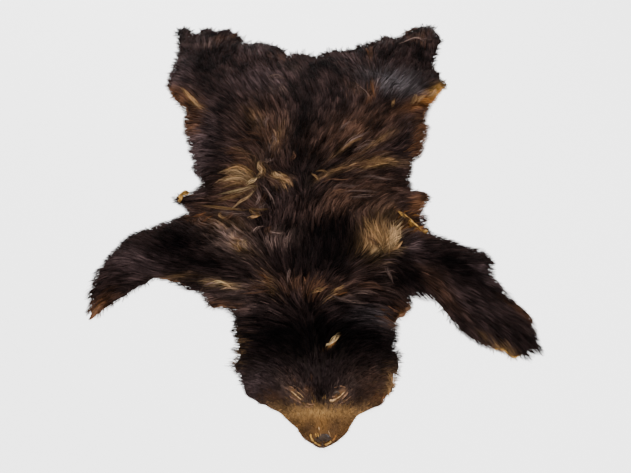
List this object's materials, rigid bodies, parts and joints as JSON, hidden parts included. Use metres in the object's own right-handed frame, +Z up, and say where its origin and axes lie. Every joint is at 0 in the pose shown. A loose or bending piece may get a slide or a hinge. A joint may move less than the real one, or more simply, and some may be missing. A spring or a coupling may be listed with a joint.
{
  "type": "bearskin rug",
  "caption": "Flat tanned bear hide laid fur side up as a floor rug, with the head skin, forelegs and hind legs spread out and a ragged fur edge.",
  "frame": {"origin": "middle of the rug's outline, on its flat underside", "axes": "+Z up out of the fur, +Y from the nose towards the hind legs, +X across to the right foreleg as seen from the nose end"},
  "size_m": [1.143, 1.4926, 0.0492],
  "materials": {
    "fur": "long dark brown-black bear fur with a soft sheen, lighter golden underfur at the partings",
    "skin": "tanned hide, tan to orange at its bare curled edges, suede underneath",
    "nose": "dried grey-brown nose skin with pale yellow cracked edges"
  },
  "bodies": {
    "root": {"hide": "fur"}
  },
  "joints": []
}
